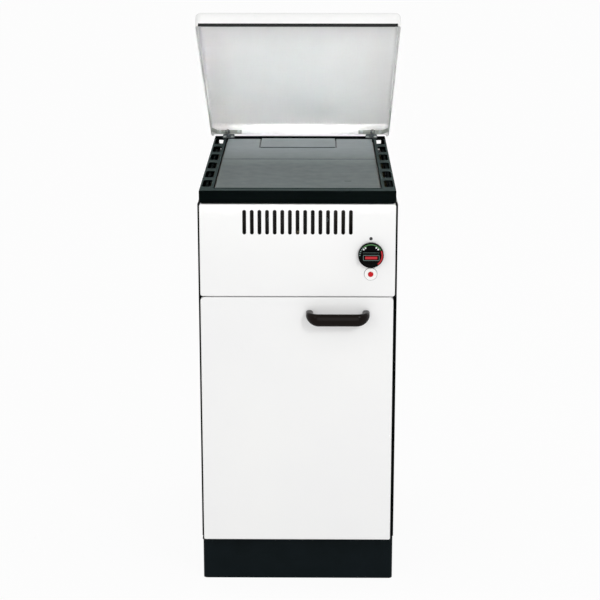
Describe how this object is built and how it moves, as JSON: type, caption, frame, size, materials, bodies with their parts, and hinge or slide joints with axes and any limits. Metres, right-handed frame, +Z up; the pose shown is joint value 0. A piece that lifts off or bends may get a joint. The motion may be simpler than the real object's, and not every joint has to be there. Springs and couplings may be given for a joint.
{
  "type": "oil-fired cooking stove",
  "caption": "Narrow floor-standing oil-fired cooking stove with an iron cooking plate under a hinged lid, a slotted control panel with knob and lamp, and a fuel space behind one door.",
  "frame": {"origin": "on the floor, in the middle of the ground that the whole stove covers, from the handle's front to the flue outlet's end", "axes": "+Z up, -Y out of the door's front, +X to the right of someone facing the door"},
  "size_m": [0.408, 0.68, 1.1852],
  "materials": {
    "enamel_white": "white vitreous enamel, glossy",
    "enamel_black": "black vitreous enamel, glossy",
    "zinc_sheet": "zinc-plated sheet steel",
    "plate_iron": "ground grey iron plate, satin",
    "scaled_steel": "heat-resistant sheet steel, dark",
    "refractory": "pressed fire-proof board, matt",
    "mineral_wool": "mineral wool, matt",
    "gasket_rope": "braided heat-proof rope",
    "knob_black": "black moulded plastic, satin",
    "dial_print": "printed dial ring, green and red arcs",
    "handle_brown": "very dark brown moulded plastic, glossy",
    "lens_red": "clear red moulded lens",
    "chrome_ring": "bright chrome",
    "rubber_black": "black rubber edge strip",
    "zinc_fastener": "zinc-plated fastener",
    "hinge_steel": "blued hinge steel",
    "copper_pipe": "drawn copper pipe",
    "cast_alloy": "die-cast alloy",
    "tank_paint": "oxide-red paint",
    "plastic_black": "black moulded plastic",
    "plastic_red": "red moulded plastic",
    "bronze": "sintered bronze",
    "sight_glass": "heat-proof glass"
  },
  "bodies": {
    "casing": {"plinth_frame": "enamel_black", "base_pan": "zinc_sheet", "side_panel_right": "enamel_black", "side_panel_left": "enamel_black", "rear_panel": "zinc_sheet", "front_crossrail": "enamel_black", "catch_magnet": "plastic_black", "control_panel": "enamel_white", "index_dot": "plastic_black", "pilot_lamp_bezel": "chrome_ring", "pilot_lamp_lens": "lens_red", "pilot_lamp_holder": "plastic_black", "control_head": "cast_alloy", "control_cable": "plastic_black", "door_hinge_brackets": "enamel_black", "door_hinge_pins": "zinc_fastener", "hob_frame": "enamel_black", "plate_carrier": "scaled_steel", "plate_gasket": "gasket_rope", "cooking_plate_front": "plate_iron", "cooking_plate_rear": "plate_iron", "cleaning_cover": "plate_iron", "combustion_chamber": "scaled_steel", "chamber_lining": "refractory", "burner_pot": "scaled_steel", "burner_ring": "scaled_steel", "burner_jacket": "zinc_sheet", "igniter": "zinc_fastener", "inspection_cover": "scaled_steel", "sight_glass": "sight_glass", "cover_nuts": "zinc_fastener", "flue_spigot": "enamel_black", "insulation_mats": "mineral_wool", "heat_shield": "zinc_sheet", "oil_regulator": "cast_alloy", "regulator_bracket": "zinc_sheet", "feed_pipe": "copper_pipe", "pressure_pipe": "copper_pipe", "lift_pump": "cast_alloy", "suction_pipe": "copper_pipe", "fuel_tank": "tank_paint", "tank_cradle": "zinc_sheet", "power_gland": "plastic_black", "lid_hinge_leaves": "hinge_steel", "lid_hinge_pins": "hinge_steel", "casing_screws": "zinc_fastener"},
    "lid": {"lid_shell": "enamel_white", "lid_front_trim": "rubber_black", "lid_straps": "zinc_fastener", "lid_screws": "zinc_fastener"},
    "door": {"door_skin": "enamel_white", "door_liner": "zinc_sheet", "door_handle": "handle_brown", "handle_screws": "zinc_fastener", "door_bushes": "bronze"},
    "knob": {"knob": "knob_black", "knob_dial": "dial_print", "knob_shaft": "zinc_fastener"},
    "shutoff_lever": {"shutoff_lever": "plastic_red"},
    "tank_cap": {"tank_cap": "plastic_black"}
  },
  "joints": [
    {"name": "lid_hinge", "type": "hinge", "parent": "casing", "child": "lid", "pos_m": [0, 0.291, 0.861], "axis": [-1, 0, 0], "range_deg": [-32, 60]},
    {"name": "door_hinge", "type": "hinge", "parent": "casing", "child": "door", "pos_m": [-0.188, -0.29, 0.369], "axis": [0, 0, -1], "range_deg": [0, 110]},
    {"name": "knob_turn", "type": "hinge", "parent": "casing", "child": "knob", "pos_m": [0.146, -0.3, 0.72], "axis": [0, -1, 0], "range_deg": [-70, 150]},
    {"name": "shutoff_turn", "type": "hinge", "parent": "casing", "child": "shutoff_lever", "pos_m": [0.128, -0.241, 0.501], "axis": [0, 1, 0], "range_deg": [0, 90]},
    {"name": "cap_turn", "type": "hinge", "parent": "casing", "child": "tank_cap", "pos_m": [-0.085, -0.19, 0.32], "axis": [0, 0, 1], "range_deg": [0, 90]}
  ]
}
